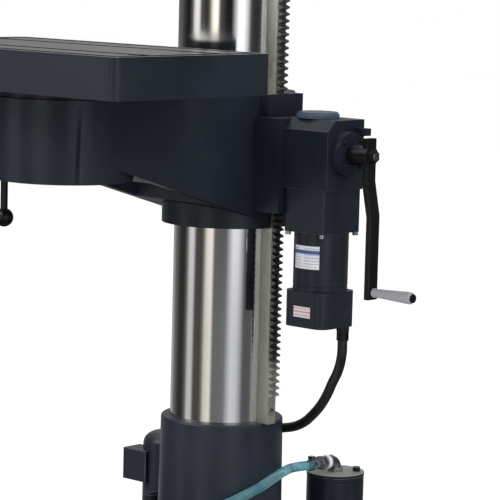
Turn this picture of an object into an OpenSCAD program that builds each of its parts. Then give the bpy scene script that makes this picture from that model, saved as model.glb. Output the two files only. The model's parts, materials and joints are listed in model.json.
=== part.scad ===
// Gear-head column drill press with a geared, motor-driven table lift.
// Millimetres, +Z up. The origin is on the floor, on the column's axis.
// The operator stands at -Y and the lifting crank is on the +X side.

/* [Column] */
// Diameter of the ground column
column_d = 150; // [149:0.5:151]
// Height of the column's top above the floor
column_top = 1836; // [1830:2:1850]
// Height of the top of the column's foot
sleeve_top = 415; // [405:1:420]
// Radius of the foot's barrel at its top
sleeve_r = 88; // [86:0.5:90]

/* [Base] */
// Width of the base
base_w = 600; // [560:10:680]
// Length of the base
base_l = 900; // [895:5:960]
// Height of the base's machined top
base_h = 125; // [118:1:125]
// Distance across the width between the floor bolts
floor_bolts_x = 545; // [540:1:550]
// Distance along the length between the floor bolts
floor_bolts_y = 845; // [840:1:850]

/* [Table] */
// Width of the table
table_w = 480; // [440:5:500]
// Length of the table from front to back
table_l = 286; // [270:2:290]
// Height of the table's top above the floor in the rest position
table_top = 950; // [949:0.5:952]
// Thickness of the table's edge
table_t = 54; // [50:1:56]
// Distance from the column's axis to the spindle's axis
throat = 321; // [318:1:325]
// Width of the neck of each T-slot
slot_w = 14; // [12:1:16]

/* [Table arm] */
// Outside radius of the collar and of the boss under the table
collar_r = 93; // [90:0.5:95]
// Height of the collar's lower face
collar_bottom = 695; // [690:1:700]
// Height of the arm's top face
arm_top = 884; // [880:1:885]
// Radial running clearance of the collar on the column
collar_gap = 0.05; // [0.03:0.01:0.1]

/* [Lift rack and pinion] */
// Module of the lift gearing
lift_module = 3; // [3]
// Teeth on the lift pinion
lift_teeth = 12; // [12]
// Height of the pinion's axis in the rest position
pinion_z = 773; // [773]
// Distance from the column's axis to the rack's pitch line
rack_pitch_x = 100; // [100:0.1:100.4]
// Width of the rack
rack_w = 16; // [14:1:16]

/* [Lift gearbox and motor] */
// Height of the crank shaft's axis
crank_z = 809; // [809:0.5:811]
// Distance from the column's axis to the motor's axis
motor_x = 176.6; // [176.4:0.1:177]
// Width of the gearhead, along X
gearhead_w = 72; // [70:1:72]
// Length of the gearhead, along Y
gearhead_l = 80; // [78:1:82]
// Diameter of the lift motor's body
motor_d = 76; // [70:1:76]
// Radius from the crank shaft to the grip
crank_r = 185; // [180:1:190]
// Length of the crank's grip
grip_l = 68; // [65:1:70]

/* [Head] */
// Width of the head casting
head_w = 250; // [246:2:260]
// Height of the head's underside
head_bottom = 1500; // [1496:1:1502]
// Height of the head's top face
head_top = 1820; // [1818:1:1824]
// Diameter of the quill
quill_d = 84; // [82:1:84]
// Height of the spindle nose with the quill up
nose_z = 1425; // [1422:1:1428]
// Diameter of the spindle motor
spindle_motor_d = 190; // [180:2:194]

/* [Hidden] */
$fn = 96;
eps = 0.01;
paint = [0.13, 0.15, 0.19];
steel = [0.72, 0.72, 0.70];
dark_steel = [0.25, 0.25, 0.26];
black = [0.07, 0.07, 0.08];
column_r = column_d / 2;

base_y = -160;
base_slot_y = [-260, -420];
foot_bolt_r = 112;

// Table arm
table_z = table_top - table_t;
boss_bottom = 774;
seat_gap = 0.3;
pivot_r = 35;
pivot_gap = 0.05;
pad_front = 48;
pad_x = 140;
pad_top = 853;
ear_angle = 165;
ear_x = 118;

// Gearing: the pinion has a profile shift so that twelve teeth are not undercut.
pressure = 20;
lift_shift = 0.294;
lift_rp = lift_module * lift_teeth / 2;
pinion_x = rack_pitch_x + lift_rp + lift_shift * lift_module;
lift_pitch = PI * lift_module;
flank_play = 0.3;
rack_teeth_down = 34;
rack_teeth = 101;
rack_top = 1440;
rack_root_x = rack_pitch_x - 1.25 * lift_module;
rack_first_z = pinion_z + lift_pitch / 2 - rack_teeth_down * lift_pitch;

// Lift gearbox
box_x0 = 140;
box_x1 = 219;
box_y = 38;
box_z0 = 758.6;
box_z1 = 855;
box_wall = 8;
box_bevel = 15;
gearhead_z0 = 698.4;
motor_z0 = 616.8;
fan_z0 = 566.7;
fan_w = 74;
motor_y = 4;
crank_shaft_r = 10;
crank_seat_r = 8;
mitre_r = 18;
gland_x = 200;
gland_y = 28;
hub_x = 265.4;
grip_x0 = 275;

// Coolant
filter_x = 62;
filter_y = 184;
filter_r = 42.5;
filter_top = 312;
lid_t = 4;
pump_x = -174;
pump_y = 75;
pump_r = 42;
pump_top = 353;

// Head
spindle_y = -throat;
quill_r = quill_d / 2;
quill_gap = 0.05;
quill_bottom = 1452;
quill_top = 1712;
feed_module = 2.5;
feed_teeth = 18;
feed_rp = feed_module * feed_teeth / 2;
quill_pitch_y = spindle_y + quill_r - 3;
feed_y = quill_pitch_y + feed_rp;
feed_z = 1550;
drive_module = 4;
drive_teeth = 36;
motor_teeth = 24;
drive_z = 1740;
drive_h = 24;
spindle_motor_y = spindle_y + drive_module * (drive_teeth + motor_teeth) / 2;
spindle_r = 14;
spindle_top = 1960;
cover_h = 12;
panel_x = -128;
head_bolt_y = 116;
head_bolt_z = [1580, 1740];

// Points along the lift motor's conduit, from its gland on the fan cover down and
// round behind the column's foot, and up to the gland under the head.
CONDUIT = [
  [200, 28, 546], [200, 28, 530], [196, 30, 514], [187, 34, 497], [174, 39, 480], [160, 46, 462],
  [142, 54, 443], [121, 63, 426], [97, 73, 410], [71, 83, 398], [44, 92, 390], [16, 99, 385],
  [-10, 102, 386], [-32, 101, 394], [-50, 96, 411], [-63, 90, 437], [-71, 86, 472], [-75, 83, 510],
  [-76, 82, 560], [-76, 82, 620], [-76, 82, 700],
  [-76, 82, 800], [-76, 82, 920], [-76, 82, 1040], [-76, 82, 1160], [-76, 82, 1280],
  [-76, 82, 1390], [-76, 82, 1476]
];
CONDUIT_D = 14;

// Points along the coolant hose, from the filter's elbow round the front of the
// column's foot to the pump's outlet.
HOSE = [
  [62, 142, 332], [62, 128, 332], [62, 112, 333], [66, 93, 335], [75, 73, 338], [86, 52, 341], [95, 29, 341],
  [100, 5, 337], [99, -20, 328], [90, -46, 317], [75, -69, 305], [52, -88, 293], [26, -99, 282],
  [-3, -103, 271], [-33, -101, 260], [-64, -94, 249], [-95, -81, 240], [-124, -62, 234], [-147, -40, 231],
  [-160, -18, 230], [-163, 0, 230]
];
HOSE_D = 14;

// ---- shared shapes -------------------------------------------------------

// A rectangle with round corners, centred.
module rounded(w, l, r) {
  square([w - 2 * r, l], center = true);
  square([w, l - 2 * r], center = true);
  for (x = [-1, 1], y = [-1, 1]) translate([x * (w / 2 - r), y * (l / 2 - r)]) circle(r);
}

// A cylinder along +X or +Y from the place it is moved to.
module rod_x(r, l) { rotate([0, 90, 0]) cylinder(r = r, h = l); }
module rod_y(r, l) { rotate([-90, 0, 0]) cylinder(r = r, h = l); }

// An outline in (Y, Z) drawn out along +X, and one in (X, Z) drawn out along Y.
module along_x(l) { rotate([90, 0, 90]) linear_extrude(l) children(); }
module along_y(l) { translate([0, l / 2, 0]) rotate([90, 0, 0]) linear_extrude(l) children(); }

// A socket-head screw whose head stands on the plane that it is moved to, shank down.
module cap_screw(r, l) {
  difference() {
    cylinder(r = 1.6 * r, h = 2 * r);
    translate([0, 0, r]) cylinder(r = 0.85 * r, h = r + 1, $fn = 6);
  }
  translate([0, 0, -l]) cylinder(r = r, h = l + eps);
}

// Involute angle in degrees for a pressure angle.
function involute(a) = tan(a) * 180 / PI - a;
function polar(r, a) = [r * cos(a), r * sin(a)];

// Outline of an involute gear with a tooth on its +X axis.
function gear_outline(m, teeth, shift, tip, play) =
  let (
    rp = m * teeth / 2,
    rb = rp * cos(pressure),
    root = rp - 1.25 * m + shift * m,
    half = ((PI * m / 2 + 2 * shift * m * tan(pressure) - play) / (2 * rp)) * 180 / PI + involute(pressure),
    start = max(rb, root) + 0.02,
    steps = 4,
    radii = [for (i = [0:steps]) start + (tip - start) * i / steps],
    side = [for (r = radii) [r, half - involute(acos(rb / r))]]
  )
  [for (k = [0:teeth - 1], p = concat(
      [[root, -half]],
      [for (s = side) [s[0], -s[1]]],
      [for (i = [steps:-1:0]) side[i]],
      [[root, half]]))
    polar(p[0], p[1] + k * 360 / teeth)];

// Outline of a rack's toothed edge: [distance along, height above the pitch line].
function rack_outline(m, first, count, play) =
  [for (k = [0:count - 1], p = [
      [-PI * m / 4 - 1.25 * m * tan(pressure) + play / 2, -1.25 * m],
      [-PI * m / 4 + m * tan(pressure) + play / 2, m],
      [PI * m / 4 - m * tan(pressure) - play / 2, m],
      [PI * m / 4 + 1.25 * m * tan(pressure) - play / 2, -1.25 * m]])
    [first + k * PI * m + p[0], p[1]]];

// A tube swept along points, with a ring of sides at each point.
function unit(v) = v / norm(v);
function tangent(p, i) = unit(p[min(i + 1, len(p) - 1)] - p[max(i - 1, 0)]);
function side_of(t) = unit(cross(t, abs(t[2]) > 0.9 ? [1, 1, 0] : [0, 0, 1]));
function carried(p, i, s) = let (t = tangent(p, i)) unit(s - t * (s * t));
function sides_along(p, i = 0, s = undef, out = []) =
  i == len(p) ? out :
  let (now = i == 0 ? side_of(tangent(p, 0)) : carried(p, i, s))
  sides_along(p, i + 1, now, concat(out, [now]));

module tube(p, d, sides = 10) {
  across = sides_along(p);
  rings = [for (i = [0:len(p) - 1], k = [0:sides - 1])
    let (t = tangent(p, i), a = across[i], b = cross(t, a), q = 360 * k / sides)
    p[i] + d / 2 * (a * cos(q) + b * sin(q))];
  last = len(p) - 1;
  faces = concat(
    [[for (k = [sides - 1:-1:0]) k]],
    [for (i = [0:last - 1], k = [0:sides - 1])
      [i * sides + k, i * sides + (k + 1) % sides, (i + 1) * sides + (k + 1) % sides, (i + 1) * sides + k]],
    [[for (k = [0:sides - 1]) last * sides + k]]);
  polyhedron(rings, [for (f = faces) [for (i = [len(f) - 1:-1:0]) f[i]]]);
}

// ---- stand ---------------------------------------------------------------

// A T-slot along X, cut from the top face down.
module t_slot(l, neck) {
  translate([-l / 2, -neck / 2, -12]) cube([l, neck, 13]);
  translate([-l / 2, -neck * 0.82, -21]) cube([l, neck * 1.64, 9 + eps]);
}

module base() {
  color(paint) difference() {
    translate([0, base_y, 0]) union() {
      linear_extrude(42) rounded(base_w, base_l, 45);
      linear_extrude(base_h) rounded(base_w - 110, base_l - 110, 35);
    }
    for (x = [-1, 1]) translate([x * 122, -365, -1]) linear_extrude(91) rounded(210, 330, 20);
    for (x = [-1, 1]) translate([x * 182, 32, -1]) linear_extrude(99) rounded(106, 360, 20);
    translate([0, 32, -1]) linear_extrude(95) rounded(206, 360, 30);
    for (y = base_slot_y) translate([0, y, base_h]) t_slot(base_w + 2, slot_w + 4);
    for (x = [-1, 1], y = [-1, 1])
      translate([x * floor_bolts_x / 2, base_y + y * floor_bolts_y / 2, -1]) cylinder(r = 9, h = 44);
  }
}

module column_foot() {
  color(paint) difference() {
    rotate_extrude() polygon([
      [column_r, base_h], [130, base_h], [130, 149], [127, 152], [99, 152], [95, 158], [92.5, 170], [91, 190],
      [sleeve_r, sleeve_top - 3], [sleeve_r - 0.9, sleeve_top - 0.9], [sleeve_r - 3, sleeve_top],
      [column_r, sleeve_top]]);
    for (a = [30:60:330]) rotate(a) translate([foot_bolt_r, 0, base_h - 1]) cylinder(r = 7, h = 40);
  }
}

// A hexagon-head bolt whose head stands on the plane that it is moved to, shank down.
module hex_bolt(r, l) {
  cylinder(r = 1.78 * r, h = 1.25 * r, $fn = 6);
  translate([0, 0, -l]) cylinder(r = r - 0.05, h = l + eps);
}

// The bolts of the column's foot, and those that clamp the head to the column.
module stand_bolts() {
  color(dark_steel) {
    for (a = [30:60:330]) rotate(a) translate([foot_bolt_r, 0, 152]) hex_bolt(7, 152 - base_h);
    for (z = head_bolt_z) {
      translate([30, head_bolt_y, z]) rotate([0, 90, 0]) hex_bolt(8, 66);
      translate([-30, head_bolt_y, z]) rotate([0, -90, 0]) cylinder(r = 14, h = 10, $fn = 6);
    }
  }
}

module column() {
  color(steel) difference() {
    translate([0, 0, base_h]) cylinder(r = column_r, h = column_top - base_h);
    translate([0, 0, base_h - 1]) cylinder(r = column_r - 17, h = column_top - base_h + 2);
    translate([column_r - 1, -rack_w / 2, sleeve_top]) cube([5, rack_w, rack_top - sleeve_top]);
  }
}

module column_cap() {
  color(black) {
    translate([0, 0, column_top]) cylinder(r = column_r - 1, h = 4);
    translate([0, 0, column_top - 10]) cylinder(r = column_r - 17, h = 10);
  }
}

module lift_rack() {
  teeth = rack_outline(lift_module, rack_first_z, rack_teeth, flank_play);
  color([0.62, 0.64, 0.55]) difference() {
    along_y(rack_w) polygon(concat(
      [[column_r - 1, sleeve_top], [rack_root_x, sleeve_top]],
      [for (p = teeth) [rack_pitch_x + p[1], p[0]]],
      [[rack_root_x, rack_top], [column_r - 1, rack_top]]));
    for (z = [432, 1422]) translate([column_r - 2, 0, z]) {
      rod_x(3.1, 30);
      translate([14, 0, 0]) rod_x(5.6, 20);
    }
  }
}

module rack_screws() {
  color(dark_steel) for (z = [432, 1422]) translate([column_r - 1, 0, z]) difference() {
    union() {
      rod_x(3, 14);
      translate([13, 0, 0]) rod_x(5.4, 6);
    }
    translate([16, 0, 0]) rotate([0, 90, 0]) cylinder(r = 2.6, h = 5, $fn = 6);
  }
}

// ---- coolant -------------------------------------------------------------

module filter_canister() {
  color(paint) translate([filter_x, filter_y, base_h]) difference() {
    union() {
      cylinder(r = filter_r, h = filter_top - base_h);
      cylinder(r = filter_r + 9, h = 8);
    }
    translate([0, 0, 10]) cylinder(r = filter_r - 4, h = filter_top);
  }
}

module filter_lid() {
  color([0.63, 0.66, 0.62]) translate([filter_x, filter_y, filter_top]) {
    difference() {
      cylinder(r = filter_r + 0.5, h = lid_t);
      translate([0, 0, -1]) cylinder(r = 8.95, h = 9);
    }
    translate([0, 0, -6]) difference() {
      cylinder(r = filter_r - 4.2, h = 6 + eps);
      translate([0, 0, -1]) cylinder(r = filter_r - 8, h = 7);
    }
    translate([23, 21, lid_t]) cap_screw(3.5, 4);
  }
}

// The elbow stands in the lid and turns to the front, with a sealing ring before the hose's barb.
module hose_elbow() {
  elbow_z = HOSE[0][2];
  color(steel) translate([filter_x, filter_y, 0]) {
    translate([0, 0, filter_top - 12]) cylinder(r = 8.9, h = elbow_z - filter_top + 12);
    translate([0, 0, filter_top + lid_t]) cylinder(r = 12, h = 5, $fn = 6);
    translate([0, 0, elbow_z]) {
      sphere(r = 9.5);
      rotate([90, 0, 0]) {
        cylinder(r = 8.6, h = filter_y - HOSE[0][1]);
        translate([0, 0, 18]) cylinder(r = 10.5, h = 6);
        translate([0, 0, 28]) cylinder(r = 11, h = 10, $fn = 6);
      }
    }
  }
}

// A worm-drive hose clamp round a hose that runs along +Z.
module clamp_band(r) {
  difference() {
    cylinder(r = r + 1.2, h = 9, center = true);
    cylinder(r = r, h = 11, center = true);
  }
  translate([-r - 3.4, 0, 0]) cube([5, 9, 8], center = true);
}

module clamp_near(end, next) {
  way = unit(next - end);
  translate(end + 12 * way) rotate([0, 90, atan2(way[1], way[0])]) clamp_band(HOSE_D / 2 + 0.3);
}

module hose_clamps() {
  last = len(HOSE) - 1;
  color(steel) {
    clamp_near(HOSE[0], HOSE[1]);
    clamp_near(HOSE[last], HOSE[last - 1]);
  }
}

module coolant_hose() {
  color([0.35, 0.68, 0.66]) tube(HOSE, HOSE_D);
}

module coolant_pump() {
  color(paint) translate([pump_x, pump_y, 0]) {
    translate([0, 0, base_h]) cylinder(r = 50, h = 12);
    translate([0, 0, base_h]) cylinder(r = 34, h = 70);
    translate([0, 0, 190]) cylinder(r = 47, h = 10);
    translate([0, 0, 200]) rotate_extrude() polygon(concat(
      [[0, 0], [pump_r, 0], [pump_r, pump_top - 218]],
      [for (a = [10:10:80]) [pump_r - 20 + 20 * cos(a), pump_top - 218 + 18 * sin(a)]],
      [[pump_r - 20, pump_top - 200], [0, pump_top - 200]]));
  }
}

module pump_terminal_box() {
  color(paint) difference() {
    translate([pump_x - 54, 27, 279]) cube([48, 36, 48]);
    translate([pump_x, pump_y, 270]) cylinder(r = pump_r, h = 60);
  }
}

module pump_outlet() {
  last = len(HOSE) - 1;
  way = unit(HOSE[last] - HOSE[last - 1]);
  color(dark_steel) difference() {
    union() {
      translate([pump_x + 11, 24, 214]) cylinder(r = 11, h = 52);
      translate([pump_x + 11, 24, 265]) cylinder(r = 9, h = 5);
      translate(HOSE[last]) rotate([0, 90, atan2(way[1], way[0])]) cylinder(r = 8.6, h = 18);
    }
    translate([pump_x, pump_y, 180]) cylinder(r = pump_r, h = 100);
  }
}

// ---- conduit -------------------------------------------------------------

module conduit() {
  color(black) tube(CONDUIT, CONDUIT_D);
}

module conduit_gland() {
  color(black) translate([-76, 82, 0]) {
    translate([0, 0, 1476]) cylinder(r = 10, h = 14);
    translate([0, 0, 1488]) cylinder(r = 14, h = 12, $fn = 6);
  }
}

// ---- table arm -----------------------------------------------------------

module pinion_pocket() {
  translate([rack_pitch_x - 5, -12.3, pinion_z - 24]) cube([pad_x - rack_pitch_x + 6, 24.6, 48]);
  translate([rack_pitch_x + 6, -16, crank_z - 18]) cube([pad_x - rack_pitch_x, 32, 36]);
}

module clamp_ears() {
  rotate(ear_angle) translate([collar_r - 20, -26, collar_bottom + 20]) cube([62, 52, 150]);
}

module table_arm() {
  color(paint) difference() {
    union() {
      translate([0, 0, collar_bottom]) cylinder(r = collar_r, h = arm_top - collar_bottom);
      translate([0, spindle_y, boss_bottom]) cylinder(r = collar_r, h = arm_top - boss_bottom);
      translate([-collar_r, 0, 0]) along_x(2 * collar_r)
        polygon([[0, arm_top], [0, 700], [spindle_y, 795], [spindle_y, arm_top]]);
      translate([60, -pad_front, 722]) cube([pad_x - 60, 2 * pad_front, pad_top - 722]);
      translate([60, -36, pad_top - 4]) cube([47, 72, arm_top - pad_top + 4]);
      clamp_ears();
    }
    translate([0, 0, collar_bottom - 1]) cylinder(r = column_r + collar_gap, h = 200);
    translate([-75, -232, 600]) cube([150, 124, 248]);
    translate([0, spindle_y, boss_bottom - 1]) cylinder(r = pivot_r + pivot_gap, h = 120);
    translate([0, -rack_w / 2 - 1, collar_bottom - 1]) cube([104.5, rack_w + 2, 200]);
    pinion_pocket();
    translate([pinion_x, -42, pinion_z]) rod_y(9.05, 110);
    rotate(ear_angle) translate([60, -2, collar_bottom - 1]) cube([90, 4, 200]);
    rotate(ear_angle) translate([ear_x, -40, 790]) rod_y(7.05, 80);
    translate([-collar_r - 5, spindle_y, 815]) rod_x(6.05, 80);
  }
}

module arm_clamp_lever() {
  color(dark_steel) rotate(ear_angle) translate([ear_x, 0, 790]) {
    translate([0, -40, 0]) rod_y(7, 74);
    translate([0, -40.3, 0]) rod_y(13, 14);
    translate([0, -33, 0]) rotate([0, 180, 0]) cylinder(r = 6, h = 105);
    translate([0, -33, -116]) sphere(r = 14);
    translate([0, 26.3, 0]) rod_y(12, 9.7);
  }
}

module lift_pinion() {
  color(dark_steel) difference() {
    translate([pinion_x, 0, pinion_z]) rotate([0, 180, 0]) along_y(20)
      polygon(gear_outline(lift_module, lift_teeth, lift_shift, lift_rp + 2.9, flank_play));
    translate([pinion_x, -15, pinion_z]) rod_y(9, 30);
  }
}

module pinion_shaft() {
  color(steel) translate([pinion_x, -40, pinion_z]) {
    rod_y(9, 92);
    translate([0, 88.3, 0]) rod_y(13, 5);
  }
}

// ---- lift gearbox --------------------------------------------------------

module gearbox_housing() {
  color(paint) difference() {
    translate([box_x0, 0, 0]) along_x(box_x1 - box_x0) polygon([
      [-box_y, box_z0], [-box_y, box_z1 - box_bevel], [-box_y + box_bevel, box_z1], [box_y, box_z1],
      [box_y, box_z0]]);
    translate([box_x0 - 1, 0, 0]) along_x(box_x1 - box_x0 - box_wall + 1) polygon([
      [-box_y + box_wall, box_z0 + box_wall], [-box_y + box_wall, box_z1 - box_bevel - 3],
      [-box_y + box_bevel + 3, box_z1 - box_wall], [box_y - box_wall, box_z1 - box_wall],
      [box_y - box_wall, box_z0 + box_wall]]);
    translate([167, 0, box_z1 - 12]) cylinder(r = 19, h = 20);
    translate([box_x1 - 12, 0, crank_z]) rod_x(14, 20);
    translate([motor_x, 0, box_z0 - 1]) cylinder(r = 9, h = 12);
    for (a = [45:90:315]) translate([box_x1 - 6, 24 * cos(a), crank_z + 24 * sin(a)]) rod_x(2.05, 10);
  }
}

module gearbox_cap() {
  color([0.20, 0.22, 0.26]) {
    translate([167, 0, box_z1]) cylinder(r = 30, h = 6);
    translate([167, 0, box_z1 + 6]) cylinder(r = 28, h = 2.5);
    translate([167, 0, box_z1 - 7]) cylinder(r = 18.9, h = 7);
  }
}

module crank_flange() {
  color(paint) translate([box_x1, 0, crank_z]) {
    difference() {
      union() {
        rod_x(31, 12);
        translate([-11, 0, 0]) rod_x(13.9, 12);
      }
      translate([-12, 0, 0]) rod_x(crank_shaft_r + 0.05, 30);
      for (a = [45:90:315]) translate([-1, 24 * cos(a), 24 * sin(a)]) rod_x(2.1, 20);
    }
    for (a = [45:90:315]) translate([12, 24 * cos(a), 24 * sin(a)]) rotate([0, 90, 0]) cap_screw(2, 15);
    translate([0, 18, 25]) cube([19, 12, 10]);
  }
}

module gearhead() {
  color(paint) difference() {
    translate([motor_x, motor_y, gearhead_z0])
      linear_extrude(box_z0 - gearhead_z0) rounded(gearhead_w, gearhead_l, 5);
    translate([motor_x, 0, box_z0 - 16]) cylinder(r = 7.05, h = 20);
    gearhead_bolts() translate([0, 0, -1]) cylinder(r = 2.6, h = 30);
  }
}

module gearhead_bolts() {
  for (x = [-1, 1], y = [-1, 1])
    translate([motor_x + (gearhead_w / 2 - 5) * x, motor_y + (gearhead_l / 2 - 5) * y, gearhead_z0]) children();
}

module gearhead_screws() {
  color(steel) gearhead_bolts() rotate([180, 0, 0]) cap_screw(2.5, 25);
}

module lift_motor() {
  color(paint) translate([motor_x, motor_y, motor_z0]) difference() {
    cylinder(d = motor_d, h = gearhead_z0 - motor_z0);
    translate([0, 0, 6]) cylinder(d = motor_d - 2, h = 1.4);
  }
}

module fan_cover() {
  color(paint) translate([motor_x, motor_y, fan_z0]) difference() {
    linear_extrude(motor_z0 - fan_z0) rounded(fan_w, fan_w, 15);
    for (a = [0:30:330]) translate([0, 0, -1]) rotate(a) translate([16, 0, 0])
      linear_extrude(5) square([14, 3], center = true);
  }
}

// A curved rating plate on the motor and a flat caution plate on the fan cover, both blank.
module label_plates() {
  color([0.85, 0.86, 0.88]) translate([motor_x, motor_y, 0]) {
    intersection() {
      translate([0, 0, 649]) difference() {
        cylinder(r = motor_d / 2 + 0.4, h = 32);
        translate([0, 0, -1]) cylinder(d = motor_d, h = 40);
      }
      translate([0, 0, 640]) rotate(-84) translate([0, -20, 0]) cube([60, 40, 50]);
    }
    translate([-15, -fan_w / 2 - 0.4, 581]) cube([30, 0.4, 15]);
  }
}

module motor_gland() {
  color(black) translate([gland_x, gland_y, fan_z0]) {
    translate([0, 0, -8]) cylinder(r = 9.5, h = 8, $fn = 6);
    translate([0, 0, 546 - fan_z0]) cylinder(r = 8.6, h = fan_z0 - 554 + eps);
  }
}

// ---- crank train ---------------------------------------------------------

module crank_shaft() {
  color(steel) translate([0, 0, crank_z]) {
    translate([108, 0, 0]) rod_x(7, 32);
    translate([140, 0, 0]) rod_x(crank_shaft_r, 93);
    translate([233, 0, 0]) rod_x(crank_seat_r, hub_x - 233);
    translate([hub_x, 0, 0]) rod_x(5, 8);
  }
}

// The worm's threads are drawn as rings; they clear the pinion's tips.
module worm() {
  worm_tip = crank_z - pinion_z - lift_rp - 2.9 - 0.5;
  color(dark_steel) translate([110, 0, crank_z]) difference() {
    rotate([0, 90, 0]) rotate_extrude() polygon(concat(
      [[0, 0]],
      [for (k = [0:4], p = [[worm_tip - 4, 0], [worm_tip, 1.6], [worm_tip, 3.2], [worm_tip - 4, 4.8]])
        [p[0], p[1] + k * 5.6 + 0.4]],
      [[0, 28]]));
    translate([-1, 0, 0]) rod_x(7, 40);
  }
}

// A mitre gear standing on the plane it is moved to, its small end up.
module mitre_gear(bore) {
  difference() {
    union() {
      cylinder(r = 13, h = 8);
      translate([0, 0, 4]) cylinder(r1 = mitre_r - 4.2, r2 = mitre_r - 0.4, h = 4 + eps);
      translate([0, 0, 8]) cylinder(r1 = mitre_r - 0.4, r2 = mitre_r - 4.8, h = 4.4);
    }
    translate([0, 0, -1]) cylinder(r = bore, h = 20);
    for (a = [0:20:340]) rotate(a) translate([mitre_r - 5, -0.9, 7.5]) rotate([0, 45, 0]) cube([1.4, 1.8, 9]);
  }
}

module crank_mitre_gear() {
  color(dark_steel) translate([motor_x + 26, 0, crank_z]) rotate([0, -90, 0]) mitre_gear(crank_shaft_r);
}

module motor_mitre_gear() {
  color(dark_steel) {
    translate([motor_x, 0, crank_z - 26]) mitre_gear(6);
    translate([motor_x, 0, box_z0 - 14]) cylinder(r = 7, h = crank_z - 26 - box_z0 + 14 + eps);
    translate([motor_x, 0, crank_z - 26]) cylinder(r = 6, h = 12);
  }
}

module crank_arm() {
  end_z = crank_z - crank_r;
  color(black) difference() {
    union() {
      along_y(19) polygon([[hub_x - 8.4, crank_z + 24.5], [hub_x, crank_z + 24.5], [hub_x, 776], [grip_x0, 729],
        [grip_x0, end_z - 10], [grip_x0 - 8, end_z - 10], [grip_x0 - 8, 727], [hub_x - 8.4, 774]]);
      translate([233, 0, crank_z]) rod_x(14, hub_x - 233);
    }
    translate([232, 0, crank_z]) rod_x(crank_seat_r, 40);
    translate([grip_x0 - 10, 0, end_z]) rod_x(4, 12);
  }
}

module crank_nut() {
  color(steel) {
    translate([hub_x, 0, crank_z]) difference() {
      union() {
        rod_x(10, 1.6);
        translate([1.6, 0, 0]) rotate([0, 90, 0]) cylinder(r = 9, h = 5.4, $fn = 6);
      }
      translate([-1, 0, 0]) rod_x(5, 12);
    }
    translate([grip_x0 - 8, 0, crank_z - crank_r]) rod_x(4, grip_l + 10);
    translate([grip_x0 + grip_l + 1.2, 0, crank_z - crank_r]) rod_x(6, 2);
  }
}

module crank_grip() {
  color([0.72, 0.72, 0.73]) translate([grip_x0 + 0.8, 0, crank_z - crank_r]) difference() {
    rotate([0, 90, 0]) rotate_extrude() polygon([
      [4.06, 0], [5.9, 0], [6.3, 1], [6.3, 4], [6, 6], [8.4, grip_l - 5], [8.2, grip_l - 2], [7, grip_l],
      [4.06, grip_l]]);
    translate([-1, 0, 0]) rod_x(4.06, grip_l + 2);
  }
}

// ---- table ---------------------------------------------------------------

module table() {
  rim = 9;
  island = table_w / 2 - rim - 16;
  color(paint) difference() {
    union() {
      translate([0, spindle_y, table_z]) linear_extrude(table_t) rounded(table_w, table_l, 12);
      translate([0, spindle_y, arm_top + seat_gap]) cylinder(r = 88, h = table_z - arm_top - seat_gap + eps);
    }
    translate([0, spindle_y, table_top - 3.8]) difference() {
      linear_extrude(5) rounded(table_w - 2 * rim, table_l - 2 * rim, 6);
      translate([0, 0, -1]) linear_extrude(7) rounded(table_w - 2 * rim - 32, table_l - 2 * rim - 32, 4);
    }
    for (y = [-1, 1]) translate([0, spindle_y + 65 * y, table_top]) {
      t_slot(2 * island, slot_w);
      for (x = [-1, 1]) translate([x * (island - 14), 0, -21]) cylinder(r = 13, h = 22);
    }
    for (x = [-1, 1]) translate([x * 161, spindle_y, table_z - 1]) linear_extrude(21) rounded(118, 240, 15);
  }
}

module table_pivot() {
  color(steel) translate([0, spindle_y, 0]) difference() {
    translate([0, 0, 786]) cylinder(r = pivot_r, h = arm_top + seat_gap - 786);
    translate([0, 0, 785]) cylinder(r = 14, h = 120);
  }
}

module table_lock_lever() {
  color(dark_steel) translate([0, spindle_y, 815]) {
    translate([-collar_r + 12, 0, 0]) mirror([1, 0, 0]) rod_x(6, 42);
    translate([-collar_r - 30, 0, 0]) rod_x(10, 12);
    translate([-collar_r - 24, 0, -95]) cylinder(r = 5, h = 95);
    translate([-collar_r - 24, 0, -104]) sphere(r = 13);
  }
}

// ---- head ----------------------------------------------------------------

module head_casting() {
  inner_w = head_w - 28;
  color(paint) difference() {
    union() {
      translate([0, -185, head_bottom]) linear_extrude(head_top - head_bottom) rounded(head_w, 570, 40);
      translate([0, spindle_y, nose_z + 40]) cylinder(r = 64, h = head_bottom - nose_z - 39);
      translate([head_w / 2 - 1, feed_y, feed_z]) rod_x(46, 12);
      translate([-30, 88, head_bottom + 40]) cube([60, 46, 240]);
    }
    translate([0, 0, head_bottom - 1]) cylinder(r = column_r, h = head_top - head_bottom + 2);
    translate([0, spindle_y, nose_z]) cylinder(r = quill_r + quill_gap, h = 300);
    translate([-13, spindle_y + 27, nose_z + 39]) cube([26, 20, 1722 - nose_z - 38]);
    translate([0, -283, 1722]) linear_extrude(120) rounded(inner_w, 340, 26);
    translate([-13, feed_y - 27, feed_z - 27]) cube([26, 54, 54]);
    translate([-30, feed_y, feed_z]) rod_x(12.05, head_w);
    translate([-2, 60, head_bottom - 1]) cube([4, 90, head_top]);
    for (z = head_bolt_z) translate([-50, head_bolt_y, z]) rod_x(8.05, 100);
    for (x = [-1, 1], y = [-440, -128]) translate([x * 118, y, head_top - 20]) cylinder(r = 3, h = 22);
    for (x = [-60, 60]) translate([x, -480, 1590]) rod_y(10.05, 50);
  }
}

module head_cover() {
  color(paint) difference() {
    union() {
      translate([0, -285, head_top]) linear_extrude(cover_h) rounded(head_w, 370, 30);
      translate([0, spindle_y, head_top]) cylinder(r = 26, h = spindle_top + 12 - head_top);
    }
    translate([0, spindle_y, head_top - 1]) cylinder(r = 18, h = spindle_top + 4 - head_top);
    translate([0, spindle_motor_y, head_top - 1]) cylinder(r = 24, h = 20);
    for (x = [-1, 1], y = [-440, -128]) translate([x * 118, y, head_top - 1]) cylinder(r = 3.2, h = 20);
  }
}

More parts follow.
